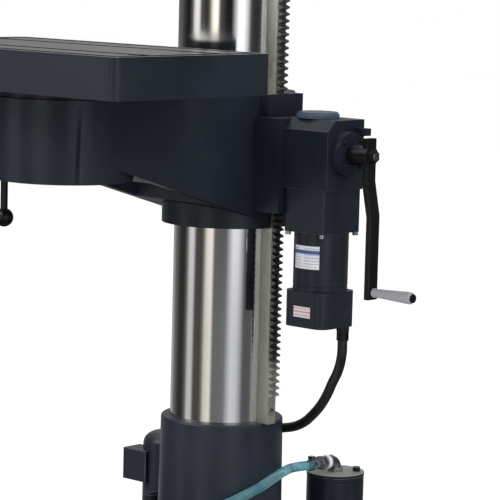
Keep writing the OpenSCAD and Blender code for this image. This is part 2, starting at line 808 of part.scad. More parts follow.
module spindle_motor() {
  base_z = head_top + cover_h;
  color(paint) translate([0, spindle_motor_y, base_z]) difference() {
    union() {
      difference() {
        cylinder(r = spindle_motor_d / 2, h = 14);
        translate([-100, -spindle_motor_d - 88, -1]) cube([200, spindle_motor_d, 16]);
      }
      translate([0, 0, 14]) cylinder(r = 78, h = 196);
      for (a = [0:15:345]) rotate(a) translate([70, -1.5, 24]) cube([16, 3, 176]);
      translate([68, -38, 70]) cube([46, 76, 90]);
    }
    translate([0, 0, -1]) cylinder(r = 14.05, h = 60);
  }
}

module spindle_motor_fan() {
  z = head_top + cover_h + 210;
  color(paint) translate([0, spindle_motor_y, z]) difference() {
    union() {
      cylinder(r = 84, h = 44);
      translate([0, 0, 44]) cylinder(r1 = 84, r2 = 72, h = 8);
    }
    for (r = [24, 40, 56], a = [0:30:330]) rotate(a) translate([r, 0, 47]) cylinder(r = 4, h = 8);
  }
}

module motor_pinion() {
  color(dark_steel) translate([0, spindle_motor_y, 0]) {
    translate([0, 0, drive_z]) linear_extrude(drive_h) rotate(180 / motor_teeth)
      polygon(gear_outline(drive_module, motor_teeth, 0, drive_module * motor_teeth / 2 + 3.8, flank_play));
    translate([0, 0, drive_z - 15]) cylinder(r = 14, h = head_top + cover_h + 40 - drive_z + 15);
  }
}

module drive_sleeve() {
  color(dark_steel) translate([0, spindle_y, 0]) difference() {
    union() {
      translate([0, 0, drive_z]) linear_extrude(drive_h)
        polygon(gear_outline(drive_module, drive_teeth, 0, drive_module * drive_teeth / 2 + 3.8, flank_play));
      translate([0, 0, drive_z - 17.7]) cylinder(r = 24, h = 73.7);
    }
    translate([0, 0, drive_z - 20]) cylinder(r = spindle_r + 0.05, h = 100);
  }
}

module quill() {
  color(steel) translate([0, spindle_y, 0]) difference() {
    translate([0, 0, quill_bottom]) cylinder(r = quill_r, h = quill_top - quill_bottom);
    translate([0, 0, quill_bottom - 1]) cylinder(r = 22.05, h = 42);
    translate([0, 0, quill_bottom]) cylinder(r = spindle_r + 1, h = 300);
    translate([0, 0, quill_top - 24]) cylinder(r = 22.05, h = 30);
    translate([-12.2, quill_r - 8, quill_bottom + 24]) cube([24.4, 20, quill_top - quill_bottom]);
  }
}

quill_teeth = 29;
quill_first = feed_z + PI * feed_module / 2 - 9 * PI * feed_module;

module quill_rack() {
  teeth = rack_outline(feed_module, quill_first, quill_teeth, flank_play);
  root = quill_pitch_y - 1.25 * feed_module;
  back = spindle_y + quill_r - 8;
  low = quill_bottom + 24;
  color(dark_steel) translate([-12, 0, 0]) along_x(24) polygon(concat(
    [[back, low], [root, low]],
    [for (p = teeth) [quill_pitch_y + p[1], p[0]]],
    [[root, quill_top], [back, quill_top]]));
}

module spindle() {
  color(steel) translate([0, spindle_y, 0]) difference() {
    union() {
      translate([0, 0, nose_z]) cylinder(r = 26, h = 26);
      translate([0, 0, nose_z + 25]) cylinder(r = 22, h = 42);
      translate([0, 0, nose_z + 60]) cylinder(r = spindle_r, h = spindle_top - nose_z - 60);
      translate([0, 0, quill_top - 20]) cylinder(r = 22, h = 19);
    }
    translate([0, 0, nose_z - 1]) cylinder(r1 = 12.05, r2 = 10.2, h = 72);
  }
}

module feed_shaft() {
  color(dark_steel) translate([0, feed_y, feed_z]) {
      translate([-12, 0, 0]) along_x(24) rotate(180)
        polygon(gear_outline(feed_module, feed_teeth, 0, feed_rp + 2.4, flank_play));
      translate([-28, 0, 0]) rod_x(12, head_w / 2 + 60);
  }
}

module depth_dial() {
  color(steel) translate([head_w / 2 + 11.3, feed_y, feed_z]) difference() {
    rod_x(44, 10);
    translate([-1, 0, 0]) rod_x(12, 20);
    for (a = [0:15:345]) rotate([a, 0, 0]) translate([2, -0.6, 42.4]) cube([9, 1.2, 3]);
  }
}

module feed_hub() {
  color(paint) translate([head_w / 2 + 21.3, feed_y, feed_z]) difference() {
    union() {
      rod_x(32, 34);
      translate([34, 0, 0]) rod_x(20, 8);
    }
    translate([-1, 0, 0]) rod_x(12, 12);
    for (a = [90:120:330]) rotate([a, 0, 0]) translate([17, 0, 20]) cylinder(r = 6, h = 20);
  }
}

module feed_handles() {
  for (a = [90:120:330]) translate([head_w / 2 + 38.3, feed_y, feed_z]) rotate([a, 0, 0]) {
    color(steel) translate([0, 0, 20]) cylinder(r = 6, h = 150);
    color(black) translate([0, 0, 168]) rotate_extrude() polygon([
      [0, 0], [8, 0], [11, 6], [15, 26], [16, 40], [13, 52], [7, 58], [0, 59]]);
  }
}

// ---- controls ------------------------------------------------------------

module button_hole(y, z, r) { translate([panel_x - 60, y, z]) rod_x(r, 50); }

module control_panel() {
  color([0.20, 0.22, 0.25]) difference() {
    translate([panel_x - 38, -400, 1560]) cube([41, 190, 150]);
    translate([panel_x - 35, -397, 1563]) cube([36, 184, 144]);
    button_hole(-365, 1672, 11.2);
    button_hole(-325, 1672, 11.2);
    button_hole(-365, 1610, 14.2);
    button_hole(-280, 1640, 12.2);
  }
}

module push_button(y, z, r, cap_r) {
  translate([panel_x - 42, y, z]) rod_x(r, 22);
  translate([panel_x - 48, y, z]) rod_x(cap_r, 6);
}

module start_button() { color([0.1, 0.5, 0.2]) push_button(-365, 1672, 11, 10); }
module stop_button() { color([0.7, 0.1, 0.1]) push_button(-325, 1672, 11, 10); }

module emergency_stop() {
  color([0.75, 0.08, 0.06]) {
    translate([panel_x - 50, -365, 1610]) rod_x(14, 30);
    translate([panel_x - 62, -365, 1610]) rod_x(20, 13);
  }
}

module main_switch() {
  color(black) {
    translate([panel_x - 40, -280, 1640]) rod_x(12, 24);
    translate([panel_x - 44, -280, 1640]) rod_x(22, 5);
    translate([panel_x - 56, -285, 1622]) cube([13, 10, 36]);
  }
}

module speed_lever(x) {
  color(steel) translate([x, -480, 1590]) rod_y(10, 46);
  color(paint) translate([x, -494, 1590]) rod_y(22, 23.5);
  color(steel) translate([x, -484, 1590]) rotate([12, 0, 0]) cylinder(r = 5, h = 90);
  color(black) translate([x, -484, 1590]) rotate([12, 0, 0]) translate([0, 0, 98]) sphere(r = 14);
}

module speed_lever_left() { speed_lever(-60); }
module speed_lever_right() { speed_lever(60); }

base();
column_foot();
stand_bolts();
column();
column_cap();
lift_rack();
rack_screws();
filter_canister();
filter_lid();
hose_elbow();
hose_clamps();
coolant_hose();
coolant_pump();
pump_terminal_box();
pump_outlet();
conduit();
conduit_gland();
table_arm();
gearbox_housing();
gearbox_cap();
crank_flange();
gearhead();
gearhead_screws();
lift_motor();
fan_cover();
label_plates();
motor_gland();
lift_pinion();
pinion_shaft();
crank_shaft();
worm();
crank_mitre_gear();
motor_mitre_gear();
crank_arm();
crank_nut();
crank_grip();
arm_clamp_lever();
table();
table_pivot();
table_lock_lever();
head_casting();
head_cover();
spindle_motor();
spindle_motor_fan();
motor_pinion();
drive_sleeve();
quill();
quill_rack();
spindle();
feed_shaft();
feed_hub();
feed_handles();
depth_dial();
control_panel();
start_button();
stop_button();
emergency_stop();
main_switch();
speed_lever_left();
speed_lever_right();
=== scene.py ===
"""Looks of the drill press: detailed pieces, finishes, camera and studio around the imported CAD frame."""

import json
import math

import bmesh
import bpy
import numpy as np
from mathutils import Matrix, Vector


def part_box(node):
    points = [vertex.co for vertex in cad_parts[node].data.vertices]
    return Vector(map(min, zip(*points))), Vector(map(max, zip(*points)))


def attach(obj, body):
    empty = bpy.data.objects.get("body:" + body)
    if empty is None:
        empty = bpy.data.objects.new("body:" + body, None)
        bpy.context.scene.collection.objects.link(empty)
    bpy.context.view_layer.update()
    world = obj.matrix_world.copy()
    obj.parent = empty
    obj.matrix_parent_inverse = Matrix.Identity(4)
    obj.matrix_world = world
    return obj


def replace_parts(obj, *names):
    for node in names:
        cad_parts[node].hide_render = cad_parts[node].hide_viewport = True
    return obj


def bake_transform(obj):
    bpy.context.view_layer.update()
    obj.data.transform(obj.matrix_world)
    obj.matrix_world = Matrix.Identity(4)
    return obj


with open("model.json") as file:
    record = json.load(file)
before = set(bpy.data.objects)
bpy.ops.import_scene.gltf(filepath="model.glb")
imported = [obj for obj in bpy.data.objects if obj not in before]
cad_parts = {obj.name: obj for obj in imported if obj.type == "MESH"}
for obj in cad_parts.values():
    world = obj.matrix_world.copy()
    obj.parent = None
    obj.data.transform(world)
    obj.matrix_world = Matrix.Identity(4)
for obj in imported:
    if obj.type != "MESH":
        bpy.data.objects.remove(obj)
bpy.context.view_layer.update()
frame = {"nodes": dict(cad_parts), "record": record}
BODY_OF = {n: b for b, ns in frame["record"]["behaviour"]["bodies"].items() for n in ns}
MM = 0.001

# ---------------------------------------------------------------- camera

CAMERA = {"azimuth": 43.0, "distance": 3.553, "height": 1.1025, "pitch": 7.183, "roll": 1.499, "yaw": 0.556}
LENS_MM = 180


def make_camera():
    """A camera in front of and to the right of the column, looking slightly down."""
    az, yaw, pitch, roll = (math.radians(CAMERA[k]) for k in ("azimuth", "yaw", "pitch", "roll"))
    place = Vector((math.sin(az), -math.cos(az), 0)) * CAMERA["distance"]
    place.z = CAMERA["height"]
    forward, right = Vector((-math.sin(az), math.cos(az), 0)), Vector((math.cos(az), math.sin(az), 0))
    forward, right = (
        forward * math.cos(yaw) + right * math.sin(yaw),
        right * math.cos(yaw) - forward * math.sin(yaw),
    )
    up = Vector((0, 0, 1))
    forward, up = (
        forward * math.cos(pitch) - up * math.sin(pitch),
        up * math.cos(pitch) + forward * math.sin(pitch),
    )
    right, up = right * math.cos(roll) + up * math.sin(roll), up * math.cos(roll) - right * math.sin(roll)
    data = bpy.data.cameras.new("camera")
    data.lens = LENS_MM
    data.sensor_width = 36
    data.clip_start, data.clip_end = 0.05, 200
    cam = bpy.data.objects.new("camera", data)
    bpy.context.scene.collection.objects.link(cam)
    cam.matrix_world = Matrix((right, up, -forward)).transposed().to_4x4()
    cam.location = place
    bpy.context.scene.camera = cam


make_camera()

# ---------------------------------------------------------------- material nodes


class Finish:
    """A node material being written: short calls that add one node each and return its output."""

    def __init__(self, name, **constants):
        self.mat = bpy.data.materials.new(name)
        self.mat.use_nodes = True
        self.tree = self.mat.node_tree
        self.tree.nodes.clear()
        self.out = self.tree.nodes.new("ShaderNodeOutputMaterial")
        self.bsdf = self.tree.nodes.new("ShaderNodeBsdfPrincipled")
        self.tree.links.new(self.bsdf.outputs[0], self.out.inputs["Surface"])
        self.place = self.tree.nodes.new("ShaderNodeTexCoord").outputs["Object"]
        self.height = None
        for key, value in constants.items():
            self.bsdf.inputs[key.replace("_", " ")].default_value = value

    def node(self, kind, **settings):
        n = self.tree.nodes.new(kind)
        for key, value in settings.items():
            setattr(n, key, value)
        return n

    def link(self, out, socket):
        self.tree.links.new(out, socket)

    def feed(self, socket, value):
        """A number, a colour or another node's output into a socket."""
        if isinstance(value, bpy.types.NodeSocket):
            self.link(value, socket)
        else:
            socket.default_value = value

    def stretched(self, scale, source=None):
        n = self.node("ShaderNodeMapping")
        self.feed(n.inputs["Vector"], source or self.place)
        n.inputs["Scale"].default_value = scale
        return n.outputs[0]

    def noise(self, scale, detail=3, rough=0.55, stretch=None, distortion=0.0):
        n = self.node("ShaderNodeTexNoise")
        self.feed(n.inputs["Vector"], self.stretched(stretch) if stretch else self.place)
        values = {"Scale": scale, "Detail": detail, "Roughness": rough, "Distortion": distortion}
        for key, value in values.items():
            n.inputs[key].default_value = value
        return n.outputs[0]

    def span(self, value, a, b, c=0.0, d=1.0, smooth=False):
        """value from a..b carried to c..d."""
        n = self.node("ShaderNodeMapRange", interpolation_type="SMOOTHSTEP" if smooth else "LINEAR")
        for socket, v in zip(n.inputs[:5], (value, a, b, c, d)):
            self.feed(socket, v)
        return n.outputs[0]

    def math(self, kind, a, b=0.0):
        n = self.node("ShaderNodeMath", operation=kind)
        self.feed(n.inputs[0], a)
        self.feed(n.inputs[1], b)
        return n.outputs[0]

    def mix(self, factor, a, b):
        n = self.node("ShaderNodeMix", data_type="RGBA")
        self.feed(n.inputs[0], factor)
        self.feed(n.inputs[6], (*a, 1) if isinstance(a, tuple) and len(a) == 3 else a)
        self.feed(n.inputs[7], (*b, 1) if isinstance(b, tuple) and len(b) == 3 else b)
        return n.outputs[2]

    def axis(self, which, source=None):
        n = self.node("ShaderNodeSeparateXYZ")
        self.feed(n.inputs[0], source or self.place)
        return n.outputs["XYZ".index(which)]

    def facing_up(self):
        return self.axis("Z", self.node("ShaderNodeNewGeometry").outputs["Normal"])

    def bump(self, height, distance, strength=1.0):
        """Adds one layer of relief, with its depth in metres."""
        n = self.node("ShaderNodeBump")
        n.inputs["Strength"].default_value = strength
        n.inputs["Distance"].default_value = distance
        self.feed(n.inputs["Height"], height)
        if self.height is not None:
            self.link(self.height, n.inputs["Normal"])
        self.height = n.outputs[0]

    def done(self, color=None, rough=None):
        if color is not None:
            self.feed(self.bsdf.inputs["Base Color"], (*color, 1) if isinstance(color, tuple) else color)
        if rough is not None:
            self.feed(self.bsdf.inputs["Roughness"], rough)
        if self.height is not None:
            self.link(self.height, self.bsdf.inputs["Normal"])
        return self.mat


def enamel(name, color, rough=0.36, grain=1.0, dust=0.2, casting=1.0, edge=0.0):
    """Machine enamel: orange peel over an uneven casting, with dust on top faces; edge is how far it is
    rubbed through.
    """
    f = Finish(name, IOR=1.36, Coat_Weight=0.05, Coat_Roughness=0.2)
    blotch = f.noise(9, 4)
    fine = f.noise(420, 2, 0.6)
    thin, thick = tuple(c * 0.86 for c in color), tuple(min(1, c * 1.16) for c in color)
    tone = f.mix(f.span(blotch, 0.35, 0.65), thin, thick)
    tone = f.mix(f.span(fine, 0.62, 0.78, 0, 0.2), tone, tuple(min(1, c * 2.0 + 0.004) for c in color))
    if edge:
        wear = f.math("ADD", f.noise(55, 4, 0.7), f.math("MULTIPLY", f.noise(700, 2), 0.3))
        rubbed = f.span(wear, 0.62, 0.86, 0, edge)
        tone = f.mix(rubbed, tone, (0.2, 0.2, 0.2))
    patches = f.span(f.noise(38, 5, 0.7), 0.4, 0.75, 0.1, dust)
    settled = f.math("MULTIPLY", f.span(f.facing_up(), 0.55, 1.0), patches)
    tone = f.mix(settled, tone, (0.22, 0.23, 0.25))
    scuffs = f.span(f.noise(60, 5, 0.7, stretch=(1, 1, 0.25)), 0.5, 0.8)
    uneven = f.span(blotch, 0.3, 0.7, rough - 0.06, rough + 0.06)
    gloss = f.math("ADD", uneven, f.math("MULTIPLY", scuffs, 0.12))
    f.bump(f.noise(950, 2, 0.5), 0.00012 * grain, 0.5)
    f.bump(f.noise(150, 2, 0.5), 0.00035 * casting, 0.35)
    f.bump(f.noise(28, 2, 0.4), 0.0009 * casting, 0.22)
    return f.done(tone, gloss)


def steel(name, color, rough=0.2, lay=(1, 1, 60), mark=0.5, stain=0.15, aniso=0.0, turned=False):
    """Bare steel with a machining lay along the unstretched axes, light scratches and a little oil stain."""
    f = Finish(name, Metallic=1.0, IOR=2.5)
    if aniso:
        f.bsdf.inputs["Anisotropic"].default_value = aniso
        f.bsdf.inputs["Anisotropic Rotation"].default_value = 0.25 if turned else 0.0
        tangent = f.node("ShaderNodeTangent", direction_type="RADIAL", axis="Z")
        f.link(tangent.outputs[0], f.bsdf.inputs["Tangent"])
    lines = f.noise(60, 3, 0.7, stretch=lay)
    cloud = f.noise(7, 4, 0.6)
    oily = f.span(f.noise(22, 5, 0.65), 0.5, 0.72, 0, stain)
    dull, bright = tuple(c * 0.9 for c in color), tuple(min(1, c * 1.06) for c in color)
    tone = f.mix(f.span(lines, 0.3, 0.7), dull, bright)
    tone = f.mix(oily, tone, (color[0] * 0.62, color[1] * 0.55, color[2] * 0.42))
    combed = f.span(lines, 0.2, 0.8, rough * 0.75, rough * 1.3)
    gloss = f.math("ADD", combed, f.span(cloud, 0.3, 0.8, -0.02, 0.06))
    f.bump(lines, 0.00006, mark)
    return f.done(tone, gloss)


def rack_finish():
    """Pale oiled flanks, and teeth drawn near black from their root line outwards, at full strength above 0.5
    m.
    """
    f = Finish("rack_steel", Metallic=1.0, IOR=2.5)
    lines = f.noise(60, 3, 0.7, stretch=(40, 40, 1))
    edge = f.math("ADD", f.axis("X"), f.span(f.noise(120, 3), 0.2, 0.8, -0.0012, 0.0012))
    # Teeth drawn near black: full strength above 0.51 m, 0.35 of it below 0.49 m.
    teeth_dark_strength = f.span(f.axis("Z"), 0.49, 0.51, 0.35, 1.0)
    dark = f.math("MULTIPLY", f.span(edge, 0.0938, 0.0952, smooth=True), teeth_dark_strength)
    oily = f.span(f.noise(30, 5, 0.7, stretch=(1, 1, 0.3)), 0.5, 0.75, 0, 0.45)
    pale = f.mix(oily, (0.62, 0.63, 0.55), (0.40, 0.39, 0.30))
    teeth_dark_tone = f.mix(f.span(f.noise(220, 4, 0.7), 0.5, 0.72), (0.010, 0.0095, 0.008), (0.10, 0.095, 0.075))
    f.bump(lines, 0.00006, 0.5)
    f.bump(f.noise(300, 4), 0.0002, 0.3)
    f.link(f.math("SUBTRACT", 1.0, f.math("MULTIPLY", dark, 0.9)), f.bsdf.inputs["Metallic"])
    return f.done(f.mix(dark, pale, teeth_dark_tone), f.span(f.noise(90, 4), 0.3, 0.7, 0.34, 0.5))


def label_finish():
    """Blank generic plates: a blue band and faint rules on the upper one, red rules on the lower one."""
    f = Finish("printed_plate", IOR=1.45)
    z = f.axis("Z")
    rules = f.math("GREATER_THAN", f.math("SINE", f.math("MULTIPLY", z, 2 * math.pi / 0.0042)), 0.45)
    broken = f.math("GREATER_THAN", f.noise(130, 2, 0.5, stretch=(1, 1, 0.02)), 0.47)
    print_here = f.math("MULTIPLY", f.math("MULTIPLY", rules, broken), f.span(z, 0.652, 0.6521))
    paper = f.mix(f.span(f.noise(60, 4), 0.4, 0.7, 0, 0.4), (0.62, 0.64, 0.67), (0.45, 0.46, 0.48))
    tone = f.mix(f.math("MULTIPLY", print_here, 0.5), paper, (0.12, 0.13, 0.2))
    band = f.math("MULTIPLY", f.span(z, 0.6698, 0.67), f.span(z, 0.6752, 0.6750))
    tone = f.mix(band, tone, (0.05, 0.09, 0.27))
    low = f.span(z, 0.602, 0.6, 0, 1)
    red_rules = f.math("GREATER_THAN", f.math("SINE", f.math("MULTIPLY", z, 2 * math.pi / 0.0052)), 0.35)
    inner = f.math("MULTIPLY", f.span(z, 0.5832, 0.5833), f.span(z, 0.5942, 0.5941))
    red = f.math("MULTIPLY", f.math("MULTIPLY", red_rules, inner), f.math("MULTIPLY", low, 0.65))
    tone = f.mix(f.math("MULTIPLY", low, 0.25), tone, (0.62, 0.42, 0.42))
    tone = f.mix(red, tone, (0.42, 0.06, 0.07))
    f.bump(f.noise(700, 2), 0.00003, 0.3)
    return f.done(tone, f.span(f.noise(80, 3), 0.3, 0.7, 0.3, 0.42))


def plastic(name, color, rough=0.4, grain=0.5, scuff=0.2, **extra):
    """Moulded plastic: fine spark-eroded grain, a little scuffing and grime."""
    f = Finish(name, IOR=1.46, **extra)
    grime = f.span(f.noise(45, 5, 0.7), 0.48, 0.75, 0, scuff)
    tone = f.mix(grime, color, tuple(c * 0.55 for c in color))
    gloss = f.span(f.noise(120, 4, 0.7), 0.3, 0.8, rough - 0.06, rough + 0.12)
    f.bump(f.noise(1600, 2, 0.5), 0.00006, grain)
    f.bump(f.noise(90, 3, 0.6), 0.0002, 0.25 * grain)
    return f.done(tone, gloss)


PAINT = (0.0092, 0.0128, 0.0208)
M = {
    "paint": enamel("machine_enamel", PAINT),
    # The *_edge enamels (paint_edge, motor_edge, black_edge, lid_edge, panel_edge) are lighter copies for
    # rounded edges: worn paint with a painted edge highlight.
    "paint_edge": enamel("machine_enamel_edge_wear_and_highlight", (0.055, 0.065, 0.085), 0.26, edge=0.6),
    "motor_paint": enamel("motor_enamel", (0.0105, 0.0145, 0.0225), 0.33, 1.4, 0.25, 0.5),
    "motor_edge": enamel("motor_enamel_edge_wear_and_highlight", (0.045, 0.055, 0.072), 0.26, edge=0.45),
    "black_paint": enamel("satin_black", (0.0040, 0.0044, 0.0062), 0.36, 0.7, 0.03, 0.6),
    "black_edge": enamel("satin_black_edge_wear_and_highlight", (0.012, 0.012, 0.015), 0.28, dust=0.04, edge=0.3),
    "lid": enamel("lid_enamel", (0.25, 0.29, 0.26), 0.42, 1.0, 0.25, 0.4),
    "lid_edge": enamel("lid_enamel_edge_wear_and_highlight", (0.42, 0.46, 0.42), 0.34, edge=0.2),
    "panel": enamel("panel_enamel", (0.032, 0.035, 0.045), 0.5, 2.2, 0.1, 0.1),
    "panel_edge": enamel("panel_enamel_edge_wear_and_highlight", (0.06, 0.063, 0.075), 0.4, edge=0.3),
    # A lighter copy of the machine enamel for the column foot, pump and terminal box: painted light, as the
    # light falls stronger low on the machine.
    "foot_paint_painted_light": enamel("foot_enamel_painted_light", (0.0150, 0.0190, 0.0290), 0.33, 1.2, 0.2, 0.8),
    "column": steel("polished_column", (0.80, 0.79, 0.77), 0.075, (1, 1, 130), 0.12, 0.05, 0.5, True),
    "cap": enamel("cap_enamel", (0.05, 0.068, 0.105), 0.22, 0.4, 0.2, 0.2),
    "ground": steel("ground_steel", (0.66, 0.65, 0.63), 0.2, (1, 1, 50), 0.4, 0.1),
    "table_top": steel("planed_iron", (0.40, 0.405, 0.41), 0.34, (0.5, 30, 1), 0.6, 0.3),
    # Lighter steel for the rounded edges of bare parts and the table's rim: worn bright metal with a painted
    # edge highlight.
    "bright_edge": steel("bright_edge", (0.92, 0.92, 0.90), 0.34, (20, 20, 20), 0.3, 0.1),
    "rack": rack_finish(),
    "label": label_finish(),
    "tape": plastic("sealing_tape", (0.72, 0.73, 0.74), 0.5, 1.2, 0.3),
    "gear": steel("gear_steel", (0.2, 0.2, 0.2), 0.36, (20, 20, 20), 0.5, 0.3),
    "zinc": steel("zinc_plate", (0.62, 0.63, 0.62), 0.26, (25, 25, 25), 0.4, 0.15),
    "zinc_dark": steel("cast_elbow", (0.46, 0.45, 0.48), 0.3, (25, 25, 25), 0.6, 0.4),
    "black_steel": steel("black_oxide", (0.045, 0.045, 0.05), 0.36, (30, 30, 30), 0.5, 0.2),
    # Lighter oxide for rounded edges: worn oxide with a painted edge highlight.
    "black_edge_steel": steel("black_oxide_edge_wear_and_highlight", (0.16, 0.16, 0.165), 0.3, (30, 30, 30), 0.5, 0.2),
    "grip": plastic("grip_plastic", (0.30, 0.305, 0.325), 0.34, 0.6, 0.35),
    "black_plastic": plastic("black_plastic", (0.012, 0.012, 0.014), 0.42, 1.0, 0.2),
    "green": plastic("green_button", (0.02, 0.24, 0.05), 0.22, 0.2, 0.1),
    "red": plastic("red_button", (0.45, 0.012, 0.008), 0.22, 0.2, 0.1),
}


# ---------------------------------------------------------------- mesh helpers


def add_piece(name, body, mesh, mats):
    """An object of that mesh, riding on its body, with its material slots filled."""
    obj = bpy.data.objects.new(name, mesh)
    bpy.context.scene.collection.objects.link(obj)
    for key in mats:
        mesh.materials.append(M[key])
    if body:
        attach(obj, body)
    return obj


def smooth_mesh(mesh, angle=32):
    for p in mesh.polygons:
        p.use_smooth = True
    mesh.set_sharp_from_angle(angle=math.radians(angle))


def bend_of(edge):
    """How far the surface turns at that edge, in degrees; negative in an inside corner."""
    return math.degrees(edge.calc_face_angle_signed(0)) if len(edge.link_faces) == 2 else 0


def round_edges(bm, radius, segments, wear_and_highlight, choose):
    """Bevels the edges for which choose(edge) is true; the flag puts the second material on them, the lighter
    edge copy: worn paint with a painted edge highlight.
    """
    picked = [e for e in bm.edges if choose(e)]
    if picked and radius:
        bmesh.ops.bevel(
            bm, geom=picked, offset=radius * MM, offset_type="OFFSET", segments=segments, profile=0.5,
            affect="EDGES", clamp_overlap=True, material=1 if wear_and_highlight else -1, loop_slide=True,
        )


def rounded(node, slot, mats, crisp=0.6, cast=0.0, faces=None, wear_and_highlight=True, segments=2, sharp=27):
    """The CAD node's solid with its edges rounded: crisp mm on outside edges and cast mm in inside corners.
    faces(centre, normal, material) picks a face's material again."""
    bm = bmesh.new()
    bm.from_mesh(frame["nodes"][node].data)
    bmesh.ops.remove_doubles(bm, verts=bm.verts, dist=2e-6)
    bmesh.ops.dissolve_limit(bm, angle_limit=math.radians(0.7), verts=bm.verts, edges=bm.edges)
    for f in bm.faces:
        f.material_index = 0
    round_edges(bm, cast, segments, False, lambda e: bend_of(e) < -sharp)
    # Outside edges get the second material when there is one: worn paint with a painted edge highlight.
    round_edges(bm, crisp, segments, wear_and_highlight and len(mats) > 1, lambda e: bend_of(e) > sharp)
    if faces:
        for f in bm.faces:
            f.material_index = faces(f.calc_center_median(), f.normal, f.material_index)
    mesh = bpy.data.meshes.new(node + "_form")
    bm.to_mesh(mesh)
    bm.free()
    smooth_mesh(mesh)
    obj = add_piece(node + "_form", BODY_OF[node], mesh, mats)
    obj.modifiers.new("even_shading", "WEIGHTED_NORMAL").keep_sharp = True
    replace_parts(obj, node)
    return obj


def turned(node, slot, mats, profile, centre, direction=(0, 0, 1), round_mm=0.5, sides=96):
    """A turned piece, drawn by its outline, that stands for a CAD node."""
    outline = profile_round(profile, round_mm) if round_mm else profile
    mesh = lathe(node + "_form", outline, centre, direction, sides)
    obj = add_piece(node + "_form", BODY_OF[node], mesh, mats)
    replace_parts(obj, node)
    return obj


def spline(points, step):
    """Points about step apart on a smooth curve through the given ones."""
    p = [Vector(q) for q in points]
    p = [p[0] * 2 - p[1]] + p + [p[-1] * 2 - p[-2]]
    line = []
    for i in range(1, len(p) - 2):
        count = max(1, round((p[i + 1] - p[i]).length / step))
        for k in range(count):
            t = k / count
            a, b, c, d = p[i - 1], p[i], p[i + 1], p[i + 2]
            line.append(
                0.5
                * (2 * b + (c - a) * t + (2 * a - 5 * b + 4 * c - d) * t * t + (3 * b - a - 3 * c + d) * t**3)
            )
    return line + [p[-2]]


def tube(name, line, radius, sides=20):
    """A mesh tube along a line of points; its UV map runs in metres along it and once round it."""
    bm = bmesh.new()
    uv = bm.loops.layers.uv.new("run")
    rings, runs, run, side = [], [], 0.0, None
    for i, p in enumerate(line):
        ahead = (line[min(i + 1, len(line) - 1)] - line[max(i - 1, 0)]).normalized()
        side = (ahead.orthogonal() if side is None else side - ahead * side.dot(ahead)).normalized()
        over = ahead.cross(side)
        r = radius(i / (len(line) - 1)) if callable(radius) else radius
        turn = [2 * math.pi * k / sides for k in range(sides)]
        rings.append([bm.verts.new(p + (side * math.cos(a) + over * math.sin(a)) * r) for a in turn])
        run += (p - line[i - 1]).length if i else 0
        runs.append(run)
    for i in range(len(rings) - 1):
        for k in range(sides):
            quad = [(i, k), (i, k + 1), (i + 1, k + 1), (i + 1, k)]
            f = bm.faces.new([rings[a][b % sides] for a, b in quad])
            for loop, (a, b) in zip(f.loops, quad):
                loop[uv].uv = (runs[a], b / sides)
    bm.faces.new(list(reversed(rings[0])))
    bm.faces.new(rings[-1])
    bmesh.ops.recalc_face_normals(bm, faces=bm.faces)
    mesh = bpy.data.meshes.new(name)
    bm.to_mesh(mesh)
    bm.free()
    smooth_mesh(mesh, 50)
    return mesh


def axes(direction):
    """Rotation that takes +Z to that direction."""
    return Vector(direction).to_track_quat("Z", "Y").to_matrix().to_4x4()


def lathe(name, profile, centre, direction=(0, 0, 1), sides=64):
    """A turned solid: profile points (radius, height) in mm from centre along direction."""
    place = Matrix.Translation(Vector(centre) * MM) @ axes(direction)
    bm = bmesh.new()
    rings = []
    for r, h in profile:
        turn = [2 * math.pi * k / sides for k in range(sides if r > 1e-6 else 1)]
        points = [Vector((r * math.cos(a), r * math.sin(a), h)) * MM for a in turn]
        rings.append([bm.verts.new(place @ p) for p in points])
    for low, high in zip(rings, rings[1:]):
        for k in range(sides):
            j = k + 1
            quad = [low[k % len(low)], low[j % len(low)], high[j % len(high)], high[k % len(high)]]
            bm.faces.new(list(dict.fromkeys(quad)))
    bmesh.ops.recalc_face_normals(bm, faces=bm.faces)
    mesh = bpy.data.meshes.new(name)
    bm.to_mesh(mesh)
    bm.free()
    smooth_mesh(mesh, 34)
    return mesh


def profile_round(points, r, steps=4):
    """The (radius, height) outline with each inner corner turned into an arc of about r mm."""
    out = [points[0]]
    for a, b, c in zip(points, points[1:], points[2:]):
        pa, pb, pc = Vector(a), Vector(b), Vector(c)
        u, v = (pa - pb), (pc - pb)
        if u.length < 1e-9 or v.length < 1e-9:
            continue
        cut = min(r, u.length * 0.45, v.length * 0.45)
        if abs(u.normalized().dot(v.normalized()) + 1) < 1e-3:
            out.append(b)
            continue
        p, q = pb + u.normalized() * cut, pb + v.normalized() * cut
        for k in range(steps + 1):
            t = k / steps
            s = p * (1 - t) ** 2 + pb * 2 * t * (1 - t) + q * t * t
            out.append((s.x, s.y))
    return out + [points[-1]]

# ---------------------------------------------------------------- cords

CONDUIT = [
    (0.200, 0.028, 0.546), (0.200, 0.028, 0.530), (0.196, 0.030, 0.514), (0.187, 0.034, 0.497),
    (0.174, 0.039, 0.480), (0.160, 0.046, 0.462), (0.142, 0.054, 0.443), (0.121, 0.063, 0.426),
    (0.097, 0.073, 0.410), (0.071, 0.083, 0.398), (0.044, 0.092, 0.390), (0.016, 0.099, 0.385),
    (-0.010, 0.102, 0.386), (-0.032, 0.101, 0.394), (-0.050, 0.096, 0.411), (-0.063, 0.090, 0.437),
    (-0.071, 0.086, 0.472), (-0.075, 0.083, 0.510), (-0.076, 0.082, 0.560), (-0.076, 0.082, 0.620),
    (-0.076, 0.082, 0.700), (-0.076, 0.082, 0.800), (-0.076, 0.082, 0.920), (-0.076, 0.082, 1.040),
    (-0.076, 0.082, 1.160), (-0.076, 0.082, 1.280), (-0.076, 0.082, 1.390), (-0.076, 0.082, 1.476),
]
